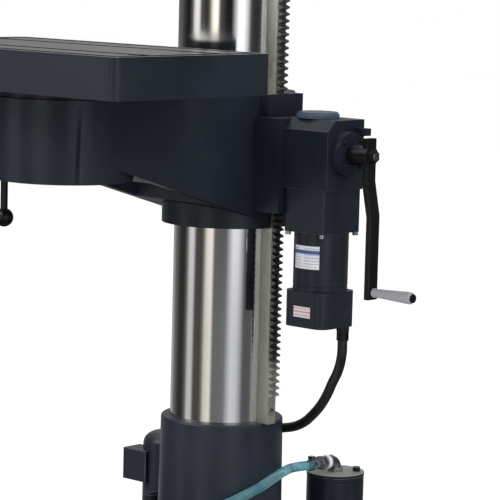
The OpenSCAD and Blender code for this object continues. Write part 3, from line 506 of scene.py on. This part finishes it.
HOSE = [
    (0.062, 0.142, 0.332), (0.062, 0.128, 0.332), (0.062, 0.112, 0.333), (0.066, 0.093, 0.335),
    (0.075, 0.073, 0.338), (0.086, 0.052, 0.341), (0.095, 0.029, 0.341), (0.100, 0.005, 0.337),
    (0.099, -0.020, 0.328), (0.090, -0.046, 0.317), (0.075, -0.069, 0.305), (0.052, -0.088, 0.293),
    (0.026, -0.099, 0.282), (-0.003, -0.103, 0.271), (-0.033, -0.101, 0.260), (-0.064, -0.094, 0.249),
    (-0.095, -0.081, 0.240), (-0.124, -0.062, 0.234), (-0.147, -0.040, 0.231), (-0.160, -0.018, 0.230),
    (-0.163, 0.000, 0.230),
]
CORD_MM = 14


def along(f, per_metre, sharpness=2):
    """Rings round a cord, from the UV map that runs along it."""
    u = f.axis("X", f.node("ShaderNodeUVMap", uv_map="run").outputs[0])
    wave = f.math("SINE", f.math("MULTIPLY", u, math.pi * per_metre))
    return f.math("POWER", f.math("ABSOLUTE", wave), sharpness)


def sheath_finish():
    f = Finish("conduit_sheath", IOR=1.5)
    chalk = f.span(f.noise(40, 5, 0.7), 0.45, 0.7, 0, 0.5)
    tone = f.mix(chalk, (0.0085, 0.0085, 0.0095), (0.021, 0.02, 0.02))
    f.bump(along(f, 260, 0.8), 0.00025, 0.35)
    f.bump(f.noise(900, 2), 0.00008, 0.4)
    return f.done(tone, f.span(f.noise(70, 4, 0.7), 0.3, 0.75, 0.28, 0.5))


def hose_finish():
    f = Finish("clear_hose", IOR=1.45, Transmission_Weight=0.7)
    tone = f.mix(f.span(f.noise(26, 3), 0.35, 0.65), (0.10, 0.33, 0.40), (0.24, 0.46, 0.52))
    f.bump(f.noise(140, 3), 0.0002, 0.3)
    return f.done(tone, f.span(f.noise(60, 3), 0.3, 0.7, 0.05, 0.12))


M["sheath"] = sheath_finish()
M["hose"] = hose_finish()


def make_cords():
    for name, points, key, slot, stiffness in (
        ("conduit_run", CONDUIT, "sheath", "conduit_rubber", "stiff"),
        ("coolant_hose_run", HOSE, "hose", "clear_hose", "medium"),
    ):
        line = spline(points, 0.006)
        mesh = tube(name, line, CORD_MM * MM / 2, 24)
        node = name.replace("_run", "")
        obj = add_piece(name, None if node == "conduit" else "stand", mesh, [key])
        if node == "conduit":
            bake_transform(obj)
        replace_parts(obj, node)


make_cords()

# ---------------------------------------------------------------- the machine

# Each pair is a finish and its lighter copy for rounded edges: worn paint with a painted edge highlight.
PAINTED = ("machine_paint", ["paint", "paint_edge"])
MOTOR = ("machine_paint", ["motor_paint", "motor_edge"])
BLACK = ("black_paint", ["black_paint", "black_edge"])
BARE = ("ground_steel", ["ground", "bright_edge"])
GEAR = ("gear_steel", ["gear", "bright_edge"])
ZINC = ("zinc_steel", ["zinc", "bright_edge"])
OXIDE = ("black_steel", ["black_steel", "black_edge_steel"])


def machined_above(z):
    """Picks the machined material for faces that look up from above that height in mm."""
    return lambda c, n, m: 2 if m == 0 and n.z > 0.9 and c.z > z * MM else m


def table_faces(c, n, m):
    """Planed iron on top, a bright rim with bright corners, and paint elsewhere; the rim's bright steel is a
    machined rim with a painted highlight along it.
    """
    low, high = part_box("table")
    middle, half = (low + high) / 2, (high - low) / 2
    in_rim = max(abs(c.x - middle.x) - half.x, abs(c.y - middle.y) - half.y) > -0.0085
    if c.z > high.z - 0.002 and in_rim and (m == 1 or n.z > 0.9):
        return 3
    return 2 if m == 0 and n.z > 0.9 and c.z > high.z - 0.023 else m


def make_castings():
    rounded("base", "machined_and_painted", ["paint", "paint_edge", "table_top"], 2.0, 6, machined_above(100))
    rounded(
        "table", "machined_and_painted", ["paint", "paint_edge", "table_top", "bright_edge"],
        1.2, 0, table_faces,
    )
    rounded("table_arm", *PAINTED, 1.6, 4)
    rounded("head_casting", *PAINTED, 3.0, 6)
    rounded("head_cover", *PAINTED, 2.5, 3)
    rounded("gearbox_housing", *PAINTED, 1.4, 2)
    for node in ("gearhead", "fan_cover", "spindle_motor", "spindle_motor_fan"):
        rounded(node, *MOTOR, 1.0, 1.0)


def make_turned():
    """Round pieces drawn by their outlines, so that highlights run evenly round them."""
    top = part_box("column_foot")[1].z / MM
    # The foot takes the lighter enamel copy: painted light.
    turned("column_foot", "machine_paint", ["foot_paint_painted_light"], [
        (75.2, 126), (130, 125.2), (130, 149), (127, 152), (99, 152), (95, 158), (92.5, 170), (91, 190),
        (88, top - 2.2), (85.8, top), (75.2, top),
    ], (0, 0, 0), round_mm=1.6, sides=160)
    low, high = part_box("lift_motor")
    middle = ((low.x + high.x) / 2 / MM, (low.y + high.y) / 2 / MM, low.z / MM)
    tall = (high.z - low.z) / MM
    turned("lift_motor", *MOTOR, [
        (0, 0.1), (38, 0.1), (38, 5.5), (37.2, 6), (37.2, 7.2), (38, 7.7), (38, tall - 0.1), (0, tall - 0.1),
    ], middle, round_mm=0.3, sides=128)
    low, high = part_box("gearbox_cap")
    middle = ((low.x + high.x) / 2 / MM, 0, high.z / MM)
    turned("gearbox_cap", "machine_paint", ["cap"], [
        (0, -15), (18.9, -15), (18.9, -8.5), (30, -8.4), (30, -2.6), (28, -2.3), (28, -0.4), (27, 0),
        (22, -0.5),
        (0, -0.8),
    ], middle, round_mm=0.7)
    low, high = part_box("filter_canister")
    middle = ((low.x + high.x) / 2 / MM, (low.y + high.y) / 2 / MM, 0)
    rim = high.z / MM
    turned("filter_canister", *PAINTED, [
        (0, 135), (38.5, 135), (38.5, rim - 0.2), (42.5, rim - 0.2), (42.5, rim - 6), (42, rim - 7),
        (42.5, rim - 8),
        (42.5, 133), (51.5, 133), (51.5, 125.2), (0, 125.2),
    ], middle, round_mm=0.9, sides=128)


def joined(name, node, mats, meshes):
    """Several meshes, each with its own material index, as one piece that stands for a CAD node."""
    bm = bmesh.new()
    for mesh, index in meshes:
        start = len(bm.faces)
        bm.from_mesh(mesh)
        bm.faces.ensure_lookup_table()
        for f in bm.faces[start:]:
            f.material_index = index
    mesh = bpy.data.meshes.new(name)
    bm.to_mesh(mesh)
    bm.free()
    smooth_mesh(mesh, 34)
    obj = add_piece(name, BODY_OF[node], mesh, mats)
    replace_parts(obj, node)
    return obj


def make_elbow():
    """A cast elbow on the filter: a hexagon at the lid, a round bend, a taped thread and the hose's nut."""
    low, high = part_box("filter_lid")
    x, y, lid = (low.x + high.x) / 2, (low.y + high.y) / 2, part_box("filter_canister")[1].z + 0.004
    z, bend, end = HOSE[0][2], 0.011, HOSE[0][1]
    quarter = np.linspace(0, math.pi / 2, 12)
    arc = [Vector((x, y - bend + bend * math.cos(a), z - bend + bend * math.sin(a))) for a in quarter]
    line = [Vector((x, y, lid - 0.010)), Vector((x, y, lid + 0.002))] + arc
    line += [Vector((x, y - 0.018, z)), Vector((x, end, z))]
    body = tube("elbow_body", line, 0.0082, 40)
    at = (x / MM, y / MM, lid / MM)
    foot = lathe("elbow_foot", profile_round([(8, 0), (12, 0), (12, 5), (8, 5.6)], 0.6), at, sides=6)
    beads = [(8, 9), (9.6, 9.4), (9.6, 16.4), (8, 17)]
    collar = lathe("elbow_collar", profile_round(beads, 0.8), (x / MM, y / MM, z / MM), (0, -1, 0), 48)
    tape = lathe("elbow_tape", profile_round([(8, 18), (10.4, 18.2), (10.4, 23.6), (8, 24)], 0.9),
                 (x / MM, y / MM, z / MM), (0, -1, 0), 48)
    nut = lathe("elbow_nut", profile_round([(8, 27), (11, 27.4), (11, 37), (8, 37.6)], 0.7),
                (x / MM, y / MM, z / MM), (0, -1, 0), 6)
    meshes = [(body, 0), (foot, 0), (collar, 0), (tape, 1), (nut, 0)]
    joined("hose_elbow_form", "hose_elbow", ["zinc_dark", "tape"], meshes)


def lid_faces(c, n, m):
    """The lid is pale on top and painted like the canister at its side."""
    return m or (0 if n.z > 0.7 else 2)


def make_metal():
    # Pump and terminal box take the lighter enamel copy: painted light.
    for node in ("coolant_pump", "pump_terminal_box"):
        rounded(node, "machine_paint", ["foot_paint_painted_light", "motor_edge"], 1.0, 1.0)
    for node in ("column_cap", "crank_flange", "pump_outlet"):
        rounded(node, *PAINTED, 0.6, 0.8)
    for node in ("stand_bolts", "rack_screws", "gearhead_screws", "hose_clamps"):
        rounded(node, *ZINC, 0.35)
    for node in ("conduit_gland", "motor_gland"):
        rounded(node, *OXIDE, 0.4)
    shafts = ("pinion_shaft", "crank_shaft", "spindle", "quill", "table_pivot", "drive_sleeve", "feed_shaft")
    for node in shafts:
        rounded(node, *BARE, 0.4)
    for node in ("lift_pinion", "worm", "crank_mitre_gear", "motor_mitre_gear", "quill_rack", "motor_pinion"):
        rounded(node, *GEAR, 0.25, segments=1)
    for node in ("arm_clamp_lever", "table_lock_lever", "speed_lever_left", "speed_lever_right"):
        rounded(node, *OXIDE, 0.4)
    for node in ("crank_arm", "crank_nut"):
        rounded(node, *BLACK, 0.9, 1.0)
    for node in ("feed_hub", "feed_handles", "depth_dial"):
        rounded(node, *OXIDE, 0.6)
    rounded("lift_rack", "rack_steel", ["rack"], 0.25, segments=1)
    rounded("filter_lid", "lid_paint", ["lid", "lid_edge", "paint"], 0.5, 0, lid_faces)
    rounded("crank_grip", "grip_plastic", ["grip", "grip"], 1.2)
    rounded("label_plates", "plate_white", ["label"], 0.0)
    rounded("control_panel", "panel_grey", ["panel", "panel_edge"], 1.5, 1.5)
    rounded("start_button", "button_green", ["green", "green"], 0.8)
    for node in ("stop_button", "emergency_stop"):
        rounded(node, "button_red", ["red", "red"], 0.8)
    rounded("main_switch", "black_plastic", ["black_plastic", "black_plastic"], 1.0)


COLUMN_R, COLUMN_BORE_R = 0.075, 0.058
RACK_FLAT_X, RACK_FLAT_HALF = 0.074, 0.0081
COLUMN_CHAMFER = 0.001
COLUMN_SIDES, BORE_SIDES = 300, 96


def column_outline():
    """The column's section: a circle cut by the flat that the rack lies on."""
    half = math.asin(RACK_FLAT_HALF / COLUMN_R)
    turn = [half + (2 * math.pi - 2 * half) * k / COLUMN_SIDES for k in range(COLUMN_SIDES + 1)]
    rim = [Vector((COLUMN_R * math.cos(a), COLUMN_R * math.sin(a), 0)) for a in turn]
    return rim + [Vector((RACK_FLAT_X, -RACK_FLAT_HALF, 0)), Vector((RACK_FLAT_X, RACK_FLAT_HALF, 0))]


def loop_edges(bm, ring):
    return [bm.edges.get((ring[k], ring[(k + 1) % len(ring)])) for k in range(len(ring))]


def make_column():
    """The ground column with the rack's flat, finely divided so that its reflections run true."""
    low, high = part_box("column")
    rim = column_outline()
    bm = bmesh.new()
    rows = []
    for z, cut in ((low.z, 0), (high.z - COLUMN_CHAMFER, 0), (high.z, COLUMN_CHAMFER)):
        rows.append([bm.verts.new(p * (1 - cut / COLUMN_R) + Vector((0, 0, z))) for p in rim])
    for a, b in zip(rows, rows[1:]):
        for k in range(len(rim)):
            j = (k + 1) % len(rim)
            bm.faces.new((a[k], a[j], b[j], b[k]))
    inner = []
    angles = [2 * math.pi * k / BORE_SIDES for k in range(BORE_SIDES)]
    for z in (low.z, high.z):
        points = [(COLUMN_BORE_R * math.cos(a), COLUMN_BORE_R * math.sin(a), z) for a in angles]
        inner.append([bm.verts.new(p) for p in points])
    for k in range(BORE_SIDES):
        j = (k + 1) % BORE_SIDES
        bm.faces.new((inner[0][j], inner[0][k], inner[1][k], inner[1][j]))
    for ring, hole in ((rows[0], inner[0]), (rows[-1], inner[1])):
        bmesh.ops.bridge_loops(bm, edges=loop_edges(bm, ring) + loop_edges(bm, hole))
    bmesh.ops.recalc_face_normals(bm, faces=bm.faces)
    mesh = bpy.data.meshes.new("column_form")
    bm.to_mesh(mesh)
    bm.free()
    smooth_mesh(mesh, 20)
    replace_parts(add_piece("column_form", "stand", mesh, ["column"]), "column")


make_castings()
make_turned()
make_elbow()
make_metal()
make_column()

# ---------------------------------------------------------------- floor, backdrop and light

RING_RADIUS = 2.6
RING_LOW, RING_HIGH = 0.15, 0.9
# Light panels: direction from the camera's own in degrees, brightness low down and high up.
PANELS = (
    (-180, 0.4, 0.3), (-150, 0.4, 0.12), (-138, 0.17, 0.12), (-116, 0.035, 0.03), (-101, 0.035, 0.012),
    (-92, 0.14, 0.15), (-84, 0.6, 1.0), (-75, 0.6, 1.1), (-68, 0.08, 0.1), (-54, 0.07, 0.03),
    (-48, 0.2, 0.12), (-44, 0.6, 0.6), (-38, 0.75, 1.35), (-30, 0.85, 1.35), (-24.5, 0.17, 0.1),
    (-10, 0.17, 0.01), (1, 0.2, 0.015), (9, 0.5, 0.6), (16, 0.72, 1.4), (27, 0.66, 1.35),
    (35, 0.42, 0.75), (42, 0.12, 0.09), (49, 0.10, 0.035), (60, 0.11, 0.03), (73, 0.5, 0.15),
    (80, 0.06, 0.05), (110, 0.04, 0.04), (140, 0.2, 0.15), (180, 0.4, 0.3),
)


def plain_object(name, bm, mat):
    mesh = bpy.data.meshes.new(name)
    bmesh.ops.recalc_face_normals(bm, faces=bm.faces)
    bm.to_mesh(mesh)
    bm.free()
    for p in mesh.polygons:
        p.use_smooth = True
    obj = bpy.data.objects.new(name, mesh)
    bpy.context.scene.collection.objects.link(obj)
    mesh.materials.append(mat)
    return obj


def make_floor():
    f = Finish("studio_floor", IOR=1.4)
    cloud = f.noise(0.9, 3)
    tone = f.mix(f.span(cloud, 0.3, 0.7), (0.93, 0.925, 0.92), (0.96, 0.955, 0.95))
    mat = f.done(tone, f.span(f.noise(5, 3), 0.3, 0.7, 0.6, 0.75))
    bm = bmesh.new()
    rings = []
    turn = np.linspace(0, 2 * math.pi, 65)[:-1]
    for r, z in ((0.0, 0.0), (3.0, 0.0), (9.0, 0.0), (60.0, 0.0)):
        if r == 0:
            rings.append([bm.verts.new((0, 0, 0))])
        else:
            rings.append([bm.verts.new((r * math.cos(a), r * math.sin(a), z)) for a in turn])
    for low, high in zip(rings, rings[1:]):
        for k in range(64):
            quad = [low[k % len(low)], high[k], high[(k + 1) % 64], low[(k + 1) % len(low)]]
            bm.faces.new(list(dict.fromkeys(quad)))
    plain_object("studio_floor", bm, mat).visible_glossy = False


def make_ring():
    """Tall light and dark panels round the machine, seen only in its glossy surfaces."""
    mat = bpy.data.materials.new("studio_panels")
    mat.use_nodes = True
    tree = mat.node_tree
    tree.nodes.clear()
    glow = tree.nodes.new("ShaderNodeEmission")
    tone = tree.nodes.new("ShaderNodeAttribute")
    tone.attribute_name = "tone"
    out = tree.nodes.new("ShaderNodeOutputMaterial")
    tree.links.new(tone.outputs["Color"], glow.inputs["Color"])
    tree.links.new(glow.outputs[0], out.inputs["Surface"])
    glow.inputs["Strength"].default_value = 1.0
    bm = bmesh.new()
    layer = bm.verts.layers.float_color.new("tone")
    count = 360
    rows = []
    angles = [p[0] for p in PANELS]
    for z, high in ((-0.6, -1), (-0.4, 0), (RING_LOW, 0), (RING_HIGH, 1), (1.6, 1), (3.4, 0.6)):
        row = []
        for k in range(count):
            rel = -180 + 360 * k / count
            a = math.radians(rel - 90 + CAMERA["azimuth"])
            v = bm.verts.new((RING_RADIUS * math.cos(a), RING_RADIUS * math.sin(a), z))
            low, top = (float(np.interp(rel, angles, [p[i] for p in PANELS])) for i in (1, 2))
            level = low + (top - low) * high if high >= 0 else 0.03
            warm, cool = (math.exp(-(((rel - at) / wide) ** 2)) for at, wide in ((-42, 24), (18, 38)))
            red, blue = 1 + 0.05 * warm - 0.03 * cool, 1 - 0.09 * warm + 0.09 * cool
            v[layer] = (level * red, level, level * blue, 1)
            row.append(v)
        rows.append(row)
    for low, high in zip(rows, rows[1:]):
        for k in range(count):
            j = (k + 1) % count
            bm.faces.new((low[k], low[j], high[j], high[k]))
    bm.faces.new(rows[0])
    ring = plain_object("studio_panels", bm, mat)
    ring.visible_camera = ring.visible_diffuse = ring.visible_shadow = False
    ring.visible_transmission = ring.visible_volume_scatter = False


def area_light(name, place, aim, size, power, color=(1, 1, 1)):
    data = bpy.data.lights.new(name, "AREA")
    data.shape = "RECTANGLE"
    data.size, data.size_y = size
    data.energy = power
    data.color = color
    lamp = bpy.data.objects.new(name, data)
    bpy.context.scene.collection.objects.link(lamp)
    lamp.location = place
    lamp.rotation_euler = (Vector(aim) - Vector(place)).to_track_quat("-Z", "Y").to_euler()
    lamp.visible_camera = False
    return lamp


def make_lights():
    world = bpy.data.worlds.new("studio")
    bpy.context.scene.world = world
    world.use_nodes = True
    sky = world.node_tree.nodes["Background"]
    sky.inputs["Color"].default_value = (1.0, 1.0, 1.0, 1)
    sky.inputs["Strength"].default_value = 1.06
    area_light("key_light", (-1.6, -3.4, 3.6), (0, -0.1, 0.8), (2.2, 1.6), 120, (1.0, 0.98, 0.95))
    area_light("fill_light", (3.6, 0.6, 2.6), (0.1, 0, 0.7), (1.6, 2.2), 45, (0.93, 0.96, 1.0))
    bpy.context.scene.view_settings.view_transform = "Standard"
    bpy.context.scene.view_settings.look = "None"


make_floor()
make_ring()
make_lights()
